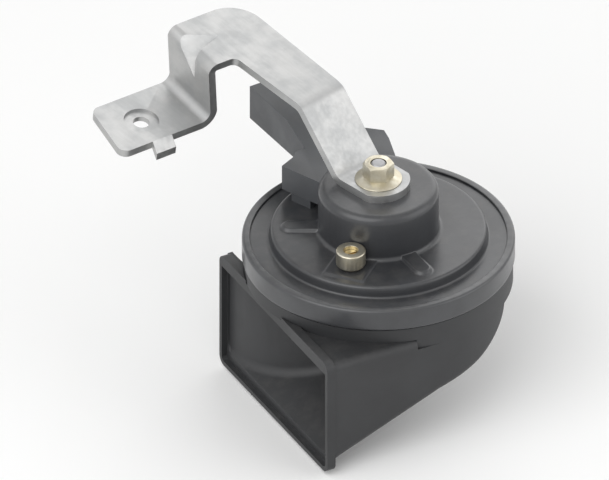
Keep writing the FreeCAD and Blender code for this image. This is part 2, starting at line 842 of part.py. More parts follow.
def offset_corners(corners, distance):
    # Moves an open line of (x, z) corners sideways, to the right of its direction.
    moved = []
    normals = []
    for (x0, z0), (x1, z1) in zip(corners, corners[1:]):
        length = math.hypot(x1 - x0, z1 - z0)
        normals.append(((z1 - z0) / length, (x0 - x1) / length))
    for i, (x, z) in enumerate(corners):
        before = normals[max(i - 1, 0)]
        after = normals[min(i, len(normals) - 1)]
        scale = distance / (1 + before[0] * after[0] + before[1] * after[1])
        moved.append((x + (before[0] + after[0]) * scale, z + (before[1] + after[1]) * scale))
    return moved


def prism(corners, start, end, axis):
    # A straight prism of an outline: (x, z) corners along y, or (x, y) corners along z.
    if axis == "y":
        points = [Vector(x, start, z) for x, z in corners]
        along = Vector(0, end - start, 0)
    else:
        points = [Vector(x, y, start) for x, y in corners]
        along = Vector(0, 0, end - start)
    return Part.Face(Part.makePolygon(points + points[:1])).extrude(along)


def round_edges(shape, places, radius, tolerance=0.01):
    # Rounds the edges whose middles lie over the given (x, y, z) places, None meaning any value.
    chosen = []
    for edge in shape.Edges:
        middle = edge.valueAt((edge.FirstParameter + edge.LastParameter) / 2)
        for place in places:
            if all(want is None or abs(have - want) < tolerance for have, want in zip(middle, place)):
                chosen.append(edge)
    if not chosen:
        raise RuntimeError("no edge to round")
    return shape.makeFillet(radius, chosen)


def box(x, y, z):
    # A box from its (low, high) ranges.
    return Part.makeBox(x[1] - x[0], y[1] - y[0], z[1] - z[0], Vector(x[0], y[0], z[0]))


def cylinder(radius, low, high, x=0, y=0):
    return Part.makeCylinder(radius, high - low, Vector(x, y, low))


# Folded steel strap: round end under the nut, rising arm, elbow, drop and bolted tab.
def make_strap():
    t = size.strap_thickness.value
    half = size.strap_width.value / 2
    inside = size.strap_bend_radius.value
    end = size.strap_end_radius.value
    level = strap_top.value
    frame = strap_frame()
    slope = math.radians(size.strap_top_slope.value)
    rise = math.radians(size.strap_rise_angle.value)
    corner = (size.strap_flat.value + size.strap_rise.value / math.tan(rise), level + size.strap_rise.value)
    overlap = 12.0
    top_line = [(-end, level), (size.strap_flat.value, level), corner,
                (corner[0] + overlap * math.cos(slope), corner[1] + overlap * math.sin(slope))]
    under_line = offset_corners(top_line, t)
    arm = prism(top_line + under_line[::-1], -half, half, "y")
    arm = round_edges(arm, [(top_line[1][0], 0, top_line[1][1]), (under_line[2][0], 0, under_line[2][1])], inside)
    arm = round_edges(arm, [(under_line[1][0], 0, under_line[1][1]), (corner[0], 0, corner[1])], inside + t)
    round_end = cylinder(end, level - t - 1, level + 1).fuse(box((0, 100), (-half, half), (level - t - 1, 200)))
    arm = arm.common(round_end)
    arm = arm.cut(cylinder(size.stud_radius.value + size.stud_clearance.value, level - t - 1, level + 1))
    arm.rotate(Vector(), Vector(0, 0, 1), size.strap_heading.value)

    turn = math.radians(size.strap_turn.value)
    near = size.tab_near_edge.value
    far = size.tab_far_edge.value
    top_fold = size.tab_top_fold_radius.value
    web = size.tab_web.value
    fold = web - top_fold - t

    def arm_plane(reach, across):
        # A point of the tab's plan, given along and across the tab, in the arm's own plan.
        return (reach * math.cos(turn) + across * math.sin(turn), reach * math.sin(turn) - across * math.cos(turn))

    flared = half + size.strap_elbow_flare.value
    inner_corner = ((near + half * math.cos(turn)) / math.sin(turn), half)
    outer_corner = ((far - flared * math.cos(turn)) / math.sin(turn), -flared)
    plate_outline = [(0, half), inner_corner, arm_plane(fold, near), arm_plane(fold, far), outer_corner,
                     (size.strap_elbow_start.value * 0.5, -half - size.strap_elbow_flare.value * 0.4), (0, -half)]
    plate = prism(plate_outline, -t, 0, "z")
    plate = round_edges(plate, [(*inner_corner, -t / 2)], 3.0)
    plate = round_edges(plate, [(*outer_corner, -t / 2)], 13.0)
    plate.Placement = frame

    low_fold = size.tab_fold_radius.value
    shift = size.tab_shift.value
    tab_level = -size.tab_drop.value
    end_near = size.tab_end_near.value
    end_far = size.tab_end_far.value
    line = [(fold - 4, 0), (web, 0), (web, tab_level), (end_near, tab_level)]
    below = offset_corners(line, t)
    tab = prism(line + below[::-1], -far, shift - near, "y")
    middle = (shift - near - far) / 2
    tab = round_edges(tab, [(web, middle, tab_level)], low_fold)
    tab = round_edges(tab, [(below[1][0], middle, below[1][1])], top_fold)
    tab = round_edges(tab, [(web, middle, 0)], top_fold + t)
    tab = round_edges(tab, [(below[2][0], middle, below[2][1])], low_fold + t)
    # The web leans sideways in its own plane, so the tab sits nearer to the can than the fold above it.
    fold_end = -top_fold - t
    lean = [(-far, 2), (-near, 2), (-near, fold_end), (shift - near, tab_level + low_fold),
            (shift - near, tab_level - t - 1), (shift - far, tab_level - t - 1),
            (shift - far, tab_level + low_fold), (-far, fold_end)]
    points = [Vector(0, y, z) for y, z in lean]
    tab = tab.common(Part.Face(Part.makePolygon(points + points[:1])).extrude(Vector(100, 0, 0)))
    near -= shift
    far -= shift
    outline = prism([(0, -far - half), (0, -near + half), (web + low_fold, -near + half), (web + low_fold, -near),
                     (end_near, -near), (end_far, -far), (web + low_fold, -far), (web + low_fold, -far - half)],
                    tab_level - t, 1, "z")
    outline = round_edges(outline, [(end_near, -near, None), (end_far, -far, None)], 3.5)
    tab = tab.common(outline)
    lug_start = size.lug_start.value
    lug_y = size.lug_reach.value - near
    lug_z = tab_level - size.lug_fall.value
    lug_side = [(-near - 3, tab_level), (-near, tab_level), (lug_y, lug_z), (lug_y, lug_z - t),
                (-near, tab_level - t), (-near - 3, tab_level - t)]
    points = [Vector(lug_start, y, z) for y, z in lug_side]
    lug = Part.Face(Part.makePolygon(points + points[:1])).extrude(Vector(size.lug_width.value, 0, 0))
    tab = tab.fuse(lug)
    hole_x = size.tab_hole_reach.value
    hole_y = -size.tab_hole_across.value
    tab = tab.cut(cylinder(size.tab_hole_radius.value, tab_level - t - 1, tab_level + 1, hole_x, hole_y))
    tab = tab.cut(cylinder(size.tab_dish_radius.value, tab_level - size.tab_dish_depth.value,
                           tab_level + 1, hole_x, hole_y))
    dent = wedge_across_fold(web, 0)
    bulge = wedge_across_fold(web, t)
    for shape in (tab, dent, bulge):
        shape.Placement = tab_frame()
    add_shape("mounting_strap", arm.fuse([plate, tab, bulge]).cut(dent))


def wedge_across_fold(web, depth):
    # Four-sided wedge in the corner of the tab's top fold, which stiffens it: along the fold, back and down.
    y = -size.gusset_across.value
    half = size.gusset_width.value / 2
    left = Vector(web - depth, y - half, -depth)
    right = Vector(web - depth, y + half, -depth)
    back = Vector(web - size.gusset_reach.value, y + size.gusset_back_lean.value, -depth)
    low = Vector(web - depth, y + size.gusset_low_lean.value, -size.gusset_fall.value)
    corners = [(left, right, back), (left, low, right), (left, back, low), (right, low, back)]
    faces = [Part.Face(Part.makePolygon([*three, three[0]])) for three in corners]
    return Part.Solid(Part.Shell(faces))


def plan_shape(edges, low, high):
    return Part.Face(Part.Wire(edges)).extrude(Vector(0, 0, high - low)).translated(Vector(0, 0, low))


def line(start, end, level=0):
    return Part.LineSegment(Vector(*start, level), Vector(*end, level)).toShape()


def arc(start, middle, end, level=0):
    return Part.Arc(Vector(*start, level), Vector(*middle, level), Vector(*end, level)).toShape()


def tube(inner, outer, low, high):
    return cylinder(outer, low, high).cut(cylinder(inner, low - 1, high + 1))


# Upper half of the trumpet: clamped flange, sound chamber, throat and the spiral passage.
def make_trumpet_upper():
    wall = size.trumpet_wall.value
    outer = collar_radius.value
    neck = neck_radius.value
    flange_low = trumpet_flange_bottom.value
    shoulder = ring_bottom.value - size.collar_seat_gap.value
    shoulder_low = shoulder - size.collar_shoulder.value
    bottom = ring_bottom.value - size.collar_depth.value
    floor = diaphragm_bottom.value - size.chamber_depth.value
    cover_top = size.duct_top.value
    body = cylinder(clamp_radius.value, flange_low, diaphragm_bottom.value)
    body = body.cut(cylinder(neck - size.chamber_edge.value, floor, diaphragm_bottom.value + 1))
    body = body.fuse([tube(neck - wall, neck, shoulder, flange_low),
                      tube(neck - wall, outer, shoulder_low, shoulder),
                      tube(outer - wall, outer, bottom, shoulder_low)])
    inner = outer - wall
    thick = size.passage_wall.value
    edge = size.scoop_inner_wall.value - wall
    steps = [step / 5 for step in range(6)]
    turns = [math.radians(size.spiral_heading.value - size.spiral_turn.value * step) for step in steps]
    reaches = [size.spiral_start.value + (inner - size.spiral_start.value) * step for step in steps]

    def spiral(extra):
        curve = Part.BSplineCurve()
        curve.interpolate([Vector((reach + extra) * math.cos(turn), (reach + extra) * math.sin(turn), 0)
                           for turn, reach in zip(turns, reaches)])
        return curve.toShape()

    near, far = spiral(0), spiral(thick)
    ends = [Part.LineSegment(near.Vertexes[i].Point, far.Vertexes[i].Point).toShape() for i in (0, 1)]
    spiral_wall = plan_shape([near, ends[1], far, ends[0]], cover_top, flange_low)
    inner_wall = box((size.passage_start.value, size.passage_end.value), (edge, edge + thick), (cover_top, flange_low))
    stop_wall = box((size.passage_stop.value, size.passage_stop.value + thick), (-inner, edge + thick / 2),
                    (cover_top, flange_low))
    room = cylinder(inner + 0.5, bottom, shoulder - 1).fuse(cylinder(neck - 1, bottom, flange_low))
    walls = spiral_wall.fuse([inner_wall, stop_wall]).common(room)
    wide = outer * 1.5
    notch = box((-wide, size.collar_notch.value), (-wide, wide), (bottom - 1, size.shelf_top.value))
    notch = notch.cut(cylinder(inner, bottom - 2, cover_top + 5))
    body = body.fuse(walls).cut(notch)
    body = body.cut(cylinder(size.throat_radius.value, flange_low - 1, floor + 1))
    add_shape("trumpet_upper", body)


# Share of the way from the bend to the scoop's end, and share of the climb to the seam there.
keel_curve = [(0, 0), (0.361, 0.157), (0.572, 0.276), (0.753, 0.442), (0.919, 0.682), (1, 1)]


# Lower half of the trumpet: cover plate, scoop that falls towards the mouth and the mouth's flange.
def make_trumpet_lower():
    wall = size.trumpet_wall.value
    sheet_wall = size.floor_thickness.value
    outer = collar_radius.value
    inner = outer - wall
    top = size.duct_top.value
    shelf = size.shelf_top.value
    notch = size.collar_notch.value
    under = top - sheet_wall
    seam = ring_bottom.value - size.collar_depth.value
    front = size.mouth_front.value
    back = front + size.mouth_flange.value
    end = size.scoop_end.value
    bend = size.scoop_bend.value
    rise = math.tan(math.radians(size.scoop_slope.value))
    start_x = size.flare_start.value
    inner_y = size.scoop_inner_wall.value
    far = size.mouth_far.value
    start_z = size.mouth_bottom.value + size.scoop_floor.value
    bend_z = start_z + (bend - back) * rise
    lip = size.mouth_lip.value
    clearance = size.ring_clearance.value
    cover_radius = inner - size.cover_fit.value
    # Cutting shapes reach past the trumpet on every side by half its own width.
    wide = outer * 1.5
    deep = size.mouth_bottom.value * 1.5

    def plan(radius, side, reach, mouth_x, wall_y, flare_middle, flare_end):
        last = math.sqrt(radius ** 2 - reach ** 2)
        half = math.sqrt(radius ** 2 - (reach / 2) ** 2)
        return [line((mouth_x, side), (0, side)), arc((0, -radius), (reach / 2, -half), (reach, -last)),
                line((reach, -last), (reach, wall_y)), line((reach, wall_y), (start_x, wall_y)),
                arc((start_x, wall_y), flare_middle, flare_end), line(flare_end, (mouth_x, flare_end[1])),
                line((mouth_x, flare_end[1]), (mouth_x, side))]

    def side(x0, offset, reach):
        # The keel's side view: straight from the mouth to the bend, then curving up to the seam.
        z0 = start_z + (x0 - back) * rise + offset
        low = bend_z + offset
        curve = Part.BSplineCurve()
        curve.interpolate([Vector(bend + (reach - bend) * along, -wide, low + (seam - low) * up)
                           for along, up in keel_curve])
        corners = [curve.EndPoint, Vector(reach, -wide, 0), Vector(x0, -wide, 0), Vector(x0, -wide, z0),
                   curve.StartPoint]
        edges = [curve.toShape(), *[Part.LineSegment(*pair).toShape() for pair in zip(corners, corners[1:])]]
        return Part.Face(Part.Wire(edges)).extrude(Vector(0, wide * 2, 0))

    flare_out = (size.flare_middle_x.value, size.flare_middle_y.value)
    flare_in = (flare_out[0] - size.flare_wall_x.value, flare_out[1] - size.flare_wall_y.value)
    flare_end = size.flare_end_x.value
    shell = plan_shape(plan(outer, -outer, end, back, inner_y + wall, flare_out, (flare_end, far)), deep, shelf)
    shell = shell.common(side(back, 0, end))
    keel = [edge for edge in shell.Edges if edge.BoundBox.ZMax < seam - 0.5 and edge.BoundBox.YMax < far / 2
            and edge.BoundBox.YMin < inner_y and edge.BoundBox.XLength > 5]
    shell = shell.makeFillet(size.scoop_edge_radius.value, keel)
    shell = shell.cut(box((notch, wide), (-wide, wide), (top, 0)))
    shell = round_edges(shell, [(None, -outer, shelf)], size.shelf_edge_radius.value)
    collar_room = tube(cover_radius, outer + wall, seam, top + 1)
    shell = shell.cut(collar_room.common(box((notch, wide), (-wide, wide), (seam, top + 1))))
    flange = box((front, back), (size.mouth_near.value, far), (size.mouth_bottom.value, size.mouth_top.value))
    flange = round_edges(flange, [(None, y, z) for y in (size.mouth_near.value, far)
                                  for z in (size.mouth_bottom.value, size.mouth_top.value)],
                         size.mouth_corner.value)
    cover = cylinder(cover_radius, under, top)
    body = shell.fuse([cover, flange])
    body = body.cut(cylinder(outer + clearance, top, 0).common(box((notch, wide), (-wide, wide), (top, 0))))
    body = body.cut(cylinder(outer + clearance, shelf, 0)).cut(cylinder(inner, top, 0))
    hollow = plan_shape(plan(inner, -inner, end - wall, front - 1, inner_y, flare_in,
                             (flare_end - size.flare_wall_end.value, far - wall)), deep, under)
    hollow = hollow.common(side(front - 1, sheet_wall + 0.1, end - wall))
    far_floor = [edge for edge in hollow.Edges if edge.BoundBox.ZMax < under - 2 and edge.BoundBox.XLength > 3
                 and edge.BoundBox.YMin > inner_y - 3]
    hollow = hollow.makeFillet(size.scoop_edge_radius.value, far_floor)
    # Opening in the cover, through which the passage above leads down into the scoop.
    transfer = cylinder(inner - sheet_wall, under - 1, top + 1)
    transfer = transfer.common(box((size.transfer_start.value, end - wall - sheet_wall), (-wide, inner_y - wall),
                                   (under - 1, top + 1)))
    rim = box((front - 1, front + size.mouth_recess.value), (size.mouth_near.value + lip, far - lip),
              (size.mouth_bottom.value + lip, under))
    rim = round_edges(rim, [(None, y, size.mouth_bottom.value + lip)
                            for y in (size.mouth_near.value + lip, far - lip)], size.mouth_corner.value - lip)
    add_shape("trumpet_lower", body.cut(hollow.fuse(rim)).cut(transfer))


def socket_frame():
    # The connector's own plan: y out of the socket's mouth, x to its right.
    return Placement(Vector(), Rotation(Vector(0, 0, 1), size.socket_heading.value - 90))


# Moulded connector: saddle behind the boss, its feet and the open socket with two blades.
def make_connector():
    back = (plateau_radius + size.saddle_overhang).value
    front = (size.boss_radius - size.saddle_boss_overlap).value
    half_saddle = (size.boss_radius - size.saddle_boss_inset).value
    left = size.saddle_shift.value - half_saddle
    right = size.saddle_shift.value + half_saddle
    low = size.saddle_bottom.value
    high = size.saddle_top.value
    shift = size.socket_shift.value
    half = size.socket_width.value / 2
    socket_low = size.socket_bottom.value
    socket_high = socket_low + size.socket_height.value
    end = back + size.socket_length.value
    wall = size.socket_wall.value
    foot_low = plateau_top.value

    corner = size.saddle_corner.value
    side_corner = (right - size.saddle_side_lean.value, back - size.saddle_side_corner.value)
    saddle = prism([(left + size.saddle_front_inset.value, front), (left, back - corner),
                    (left + size.saddle_chamfer_start.value, back - size.saddle_chamfer.value),
                    (left + size.saddle_chamfer_end.value, back), (right - corner, back), (right, back - corner),
                    side_corner, (right - corner, front)], low, high, "z")

    def foot(start, heading, first, length, thickness, side):
        along = Vector(math.cos(math.radians(heading)), math.sin(math.radians(heading)), 0)
        inward = Vector(-along.y, along.x, 0) * (thickness * side)
        base = Vector(*start, 0) + along * first
        corners = [base, base + along * length, base + along * length + inward, base + inward]
        return prism([(corner.x, corner.y) for corner in corners], foot_low, low, "z")

    foot_length = size.saddle_foot_length.value
    feet = [foot((left, back - corner), size.saddle_foot_lean.value - 90, size.saddle_foot_start.value,
                 foot_length, size.saddle_foot_wall.value, 1),
            foot(side_corner, -90 - size.saddle_back_foot_lean.value, 0.0,
                 foot_length - 1, size.saddle_back_foot_wall.value, -1)]
    root = back - size.socket_root.value
    side_view = [(root, socket_low), (end, socket_low), (end, socket_high),
                 (back + size.socket_slope.value, socket_high), (root, high - size.socket_slope_drop.value)]
    points = [Vector(shift - half, y, z) for y, z in side_view]
    socket = Part.Face(Part.makePolygon(points + points[:1])).extrude(Vector(half * 2, 0, 0))
    moulding = saddle.fuse(feet + [socket])
    moulding = moulding.cut(cylinder(size.boss_radius.value + size.saddle_boss_gap.value, 0, high + 5))
    moulding = moulding.cut(box((shift - half + wall, shift + half - wall), (end - size.socket_depth.value, end + 1),
                                (socket_low + wall, socket_high - wall)))

    frame = socket_frame()
    blade_level = (socket_low + socket_high) / 2
    contact = math.radians(size.contact_heading.value)
    stack_heading = Vector(math.cos(contact), math.sin(contact), 0)
    inner_rivet, outer_rivet = [frame.inverse().multVec(stack_heading * distance.value) for distance in stack_rivets]
    thick = size.blade_thickness.value
    wide = size.blade_width.value / 2
    foot_bottom = plateau_top.value + thick
    blade_end = end - size.socket_depth.value + size.blade_free.value
    terminals = []
    for name, side, rivet in (("left_terminal", -1, outer_rivet), ("right_terminal", 1, inner_rivet)):
        x = shift + side * size.blade_spacing.value / 2
        blade = box((x - wide, x + wide), (rivet.y - thick / 2, blade_end),
                    (blade_level - thick / 2, blade_level + thick / 2))
        leg = box((x - wide, x + wide), (rivet.y - thick / 2, rivet.y + thick / 2),
                  (foot_bottom, blade_level + thick / 2))
        strip = box((x - wide, rivet.x), (rivet.y - wide, rivet.y + wide), (foot_bottom, foot_bottom + thick))
        eye = cylinder(wide * 2, foot_bottom, foot_bottom + thick, rivet.x, rivet.y)
        hole = cylinder(size.stack_rivet_radius.value, 0, foot_bottom + 5, rivet.x, rivet.y)
        terminals.append((name, blade.fuse([leg, strip, eye]).cut(hole)))

    plate = box((shift - half + size.board_inset.value, right - corner),
                (front + size.board_front_gap.value, back - size.board_back_gap.value), (foot_low, foot_bottom))
    foot_radius = size.boss_radius.value + size.boss_foot_fillet.value + size.board_boss_gap.value
    plate = plate.cut(cylinder(foot_radius, 0, high))
    for rivet in (inner_rivet, outer_rivet):
        plate = plate.cut(cylinder(size.stack_rivet_radius.value, 0, high, rivet.x, rivet.y))
    for name, terminal in terminals:
        moulding = moulding.cut(terminal)
    for name, shape in terminals + [("terminal_insulator", plate), ("connector_housing", moulding)]:
        shape.Placement = frame
        add_shape(name, shape)


def make_all():
    make_can()
    make_ring()
    make_diaphragm_group()
    make_magnet()
    make_adjuster()
    make_breaker()
    make_strap_fastening()
    make_strap()
    make_trumpet_upper()
    make_trumpet_lower()
    make_connector()


def check_and_export():
    document.recompute()
    for item in document.Objects:
        if "Invalid" in item.State or "Error" in item.State:
            raise RuntimeError(f"{item.Name} failed: {item.getStatusString()}")
    pieces = [item for item in document.Objects if item.TypeId in ("PartDesign::Body", "Part::Feature")]
    os.makedirs("parts", exist_ok=True)
    for piece in pieces:
        shape = piece.Shape
        if shape.isNull() or not shape.isValid():
            raise RuntimeError(f"{piece.Label} has no valid shape")
        print(piece.Label, len(shape.Solids), round(shape.Volume, 1))
        shape.exportStep(os.path.join("parts", f"{piece.Label}.step"))


make_all()
check_and_export()
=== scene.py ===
import json
import math

import bmesh
import bpy
import numpy as np
from mathutils import Matrix, Vector


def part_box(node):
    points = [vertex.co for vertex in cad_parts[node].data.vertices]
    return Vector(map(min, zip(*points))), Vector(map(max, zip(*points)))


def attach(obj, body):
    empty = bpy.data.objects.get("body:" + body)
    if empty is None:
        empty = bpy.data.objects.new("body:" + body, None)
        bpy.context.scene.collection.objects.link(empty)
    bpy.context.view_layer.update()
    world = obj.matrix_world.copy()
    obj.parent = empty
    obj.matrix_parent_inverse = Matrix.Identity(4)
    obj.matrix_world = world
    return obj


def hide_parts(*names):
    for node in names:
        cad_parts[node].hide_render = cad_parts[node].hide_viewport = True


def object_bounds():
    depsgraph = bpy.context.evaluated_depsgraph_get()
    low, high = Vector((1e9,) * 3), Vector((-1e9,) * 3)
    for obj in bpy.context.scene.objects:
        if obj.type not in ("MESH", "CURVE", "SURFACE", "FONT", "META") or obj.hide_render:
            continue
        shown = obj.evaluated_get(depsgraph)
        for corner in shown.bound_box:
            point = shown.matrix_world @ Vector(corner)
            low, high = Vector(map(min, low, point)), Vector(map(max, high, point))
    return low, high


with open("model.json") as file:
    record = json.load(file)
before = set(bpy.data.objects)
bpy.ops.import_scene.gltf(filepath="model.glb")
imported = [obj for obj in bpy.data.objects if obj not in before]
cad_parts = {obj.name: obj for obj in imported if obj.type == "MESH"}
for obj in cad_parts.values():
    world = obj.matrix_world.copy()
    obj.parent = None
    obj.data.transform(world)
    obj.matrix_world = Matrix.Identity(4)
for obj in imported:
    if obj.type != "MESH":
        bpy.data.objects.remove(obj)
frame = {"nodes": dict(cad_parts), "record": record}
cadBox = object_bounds()
nodes = frame["nodes"]
bodies = frame["record"]["behaviour"]["bodies"]
bodyOf = {node: body for body, members in bodies.items() for node in members}
slotOf = {row["node"]: row["material_slot"] for row in frame["record"]["subparts"]}
mm = 0.001
print("frame loaded:", len(nodes), "nodes")

# The can's axis is found from the ring, and so is the height that sizes in mm are counted from.
ringTop = 0.7          # mm, the ring's upper face above that height
ringLow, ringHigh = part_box("rolled_ring")
hornOrigin = np.array([
    (ringLow.x + ringHigh.x) / 2,
    (ringLow.y + ringHigh.y) / 2,
    ringHigh.z - ringTop * mm,
])

# The strap's arm runs this way from the boss, seen from above, and its upper plate rises a little.
armHeading = 105.6     # degrees
armSlope = 7.5


def linkPiece(name, data):
    # A new object for a mesh, lamp or camera, put in the scene.
    piece = bpy.data.objects.new(name, data)
    bpy.context.scene.collection.objects.link(piece)
    return piece


# Camera
photo = {
    "azimuth": -28.0,            # degrees, as the drawing was made
    "elevation": 34.1,
    "width": 222.3 * mm,         # across the picture
    "right": -27.0 * mm,         # the picture's centre, from the can's axis
    "up": -1.17 * mm,
    "distance": 0.9,
}


def placeCamera():
    # Looks along the drawing's own line, without perspective.
    turn, lift = math.radians(photo["azimuth"]), math.radians(photo["elevation"])
    right = Vector((math.cos(turn), math.sin(turn), 0))
    back = Vector((math.sin(turn) * math.cos(lift), -math.cos(turn) * math.cos(lift), math.sin(lift)))
    up = back.cross(right)
    aim = Vector(hornOrigin) + right * photo["right"] + up * photo["up"]
    lens = bpy.data.cameras.new("camera")
    lens.type = "ORTHO"
    lens.ortho_scale = photo["width"]
    camera = linkPiece("camera", lens)
    facing = Matrix((right, up, back)).transposed().to_4x4()
    camera.matrix_world = Matrix.Translation(aim + back * photo["distance"]) @ facing
    bpy.context.scene.camera = camera


# Helpers for shaders
def feed(tree, socket, value):
    # A number is written into the socket, and an output is linked to it.
    if isinstance(value, (int, float)):
        socket.default_value = value
    else:
        tree.links.new(value, socket)


def mathNode(tree, operation, *values, clamp=False):
    node = tree.nodes.new("ShaderNodeMath")
    node.operation = operation
    node.use_clamp = clamp
    for socket, value in zip(node.inputs, values):
        feed(tree, socket, value)
    return node.outputs[0]


def noiseNode(tree, place, scale, detail, roughness=0.55):
    node = tree.nodes.new("ShaderNodeTexNoise")
    for label, value in (("Vector", place), ("Scale", scale), ("Detail", detail), ("Roughness", roughness)):
        feed(tree, node.inputs[label], value)
    return node.outputs["Fac"]


def rampNode(tree, value, low, high):
    # 0 below low, 1 above high and a smooth rise between them.
    node = tree.nodes.new("ShaderNodeMapRange")
    node.interpolation_type = "SMOOTHSTEP"
    tree.links.new(value, node.inputs["Value"])
    for label, number in (("From Min", low), ("From Max", high), ("To Min", 0.0), ("To Max", 1.0)):
        node.inputs[label].default_value = number
    return node.outputs["Result"]


def shaderGroup(name, inputs, outputs):
    # A node group that takes a position and the named numbers, and puts out one or more values.
    group = bpy.data.node_groups.new(name, "ShaderNodeTree")
    group.interface.new_socket("Position", in_out="INPUT", socket_type="NodeSocketVector")
    for label, value in inputs.items():
        socket = group.interface.new_socket(label, in_out="INPUT", socket_type="NodeSocketFloat")
        socket.default_value = value
    for label in outputs:
        group.interface.new_socket(label, in_out="OUTPUT", socket_type="NodeSocketFloat")
    return group, group.nodes.new("NodeGroupInput").outputs, group.nodes.new("NodeGroupOutput").inputs


# Light and floor
lamps = {
    # name: (place from the can's axis in metres, size in metres, watts)
    "keyLamp": ((-0.85, -0.35, 0.85), 1.3, 10.0),
    "fillLamp": ((0.75, -0.65, 0.40), 1.0, 3.0),
    "backLamp": ((0.75, 0.75, 0.55), 0.9, 3.0),
}
room = {
    "light": 0.56,               # strength with which the pale room lights the horn
    "seen": 1.0,                 # strength that the camera, glossy and clear surfaces see
    "color": (1, 1, 1, 1),
}
ground = {
    "gap": 1.5 * mm,             # under the horn's lowest point
    "half": 3.0,                 # metres to each side
    "color": (0.97, 0.97, 0.965, 1),
    "roughness": 0.9,
}


def placeLamps():
    for name, (place, size, power) in lamps.items():
        light = bpy.data.lights.new(name, "AREA")
        light.size = size
        light.energy = power
        lamp = linkPiece(name, light)
        lamp.location = Vector(hornOrigin) + Vector(place)
        lamp.rotation_euler = Vector(place).to_track_quat("Z", "Y").to_euler()


def placeRoom():
    world = bpy.data.worlds.new("studio")
    world.use_nodes = True
    tree = world.node_tree
    rays = tree.nodes.new("ShaderNodeLightPath").outputs
    mirrored = mathNode(tree, "MAXIMUM", rays["Is Glossy Ray"], rays["Is Transmission Ray"])
    strength = tree.nodes.new("ShaderNodeMix")
    strength.inputs["A"].default_value = room["light"]
    strength.inputs["B"].default_value = room["seen"]
    tree.links.new(mathNode(tree, "MAXIMUM", rays["Is Camera Ray"], mirrored), strength.inputs["Factor"])
    background = tree.nodes["Background"]
    background.inputs["Color"].default_value = room["color"]
    tree.links.new(strength.outputs["Result"], background.inputs["Strength"])
    bpy.context.scene.world = world
    bpy.context.scene.view_settings.view_transform = "Standard"


def placeFloor():
    low = cadBox[0][2] - ground["gap"]
    half = ground["half"]
    corners = [(-half, -half, low), (half, -half, low), (half, half, low), (-half, half, low)]
    mesh = bpy.data.meshes.new("floor")
    mesh.from_pydata(corners, [], [(0, 1, 2, 3)])
    material = bpy.data.materials.new("paleFloor")
    material.use_nodes = True
    surface = material.node_tree.nodes["Principled BSDF"]
    surface.inputs["Base Color"].default_value = ground["color"]
    surface.inputs["Roughness"].default_value = ground["roughness"]
    mesh.materials.append(material)
    linkPiece("floor", mesh)


# Shader effects that several finishes share
effects = {
    "blotchDetail": 4.0, "blotchRamp": (0.32, 0.68), "grainDetail": 2.0,
    "dustScale": 160.0, "dustDetail": 5.0, "dustRoughness": 0.65, "dustRamp": (0.38, 0.75),
    "dustFacing": (0.35, 1.0),   # how far a surface faces up: 0 is a wall and 1 is level
    "lineDetail": 2.0, "lineRamp": (0.35, 0.65), "markDetail": 1.0,
}


def blotchGroup():
    # Slow change of tone and shine over a surface: two noises, one broad and one fine.
    group, start, end = shaderGroup(
        "surfaceBlotch", {"Broad Scale": 60.0, "Fine Scale": 900.0}, ["Broad", "Fine"])
    broad = noiseNode(group, start["Position"], start["Broad Scale"], effects["blotchDetail"])
    fine = noiseNode(group, start["Position"], start["Fine Scale"], effects["grainDetail"])
    feed(group, end["Broad"], rampNode(group, broad, *effects["blotchRamp"]))
    feed(group, end["Fine"], fine)
    return group


def dustGroup():
    # A thin film of dust where a surface faces up, broken by noise.
    group, start, end = shaderGroup("dustFilm", {"Amount": 0.2}, ["Mask"])
    normal = group.nodes.new("ShaderNodeNewGeometry").outputs["Normal"]
    split = group.nodes.new("ShaderNodeSeparateXYZ")
    feed(group, split.inputs[0], normal)
    facing = rampNode(group, split.outputs["Z"], *effects["dustFacing"])
    noise = noiseNode(
        group, start["Position"], effects["dustScale"], effects["dustDetail"], effects["dustRoughness"])
    broken = rampNode(group, noise, *effects["dustRamp"])
    lying = mathNode(group, "MULTIPLY", facing, broken)
    feed(group, end["Mask"], mathNode(group, "MULTIPLY", lying, start["Amount"], clamp=True))
    return group


def rolledGroup():
    # Fine lines along one way: noise on a position that is squeezed along that way.
    group, start, end = shaderGroup("rolledLines", {"Line Scale": 1800.0}, ["Lines"])
    lines = noiseNode(group, start["Position"], start["Line Scale"], effects["lineDetail"])
    feed(group, end["Lines"], rampNode(group, lines, *effects["lineRamp"]))
    return group


def turnedGroup():
    # Turning marks: noise on the distance from the can's axis and the height alone.
    group, start, end = shaderGroup("turningMarks", {"Mark Scale": 2500.0}, ["Marks"])
    split = group.nodes.new("ShaderNodeSeparateXYZ")
    feed(group, split.inputs[0], start["Position"])
    squares = [mathNode(group, "MULTIPLY", split.outputs[way], split.outputs[way]) for way in "XY"]
    join = group.nodes.new("ShaderNodeCombineXYZ")
    feed(group, join.inputs["X"], mathNode(group, "SQRT", mathNode(group, "ADD", *squares)))
    feed(group, join.inputs["Y"], split.outputs["Z"])
    marks = noiseNode(group, join.outputs[0], start["Mark Scale"], effects["markDetail"])
    feed(group, end["Marks"], marks)
    return group


blotch = blotchGroup()
dust = dustGroup()
markGroups = {
    # marks: (group, its output, its input for the scale)
    "rolled": (rolledGroup(), "Lines", "Line Scale"),
    "turned": (turnedGroup(), "Marks", "Mark Scale"),
}
print("shader effects ready")


# Finishes
film = {
    "coatRoughness": 0.22,
    "dustColor": (0.33, 0.31, 0.28),
    "dustRoughness": 0.5,        # what a full film adds
}


def effectNode(tree, group, values):
    # The group placed in a material, with a value for each of its named inputs.
    node = tree.nodes.new("ShaderNodeGroup")
    node.node_tree = group
    for label, value in values.items():
        feed(tree, node.inputs[label], value)
    return node.outputs


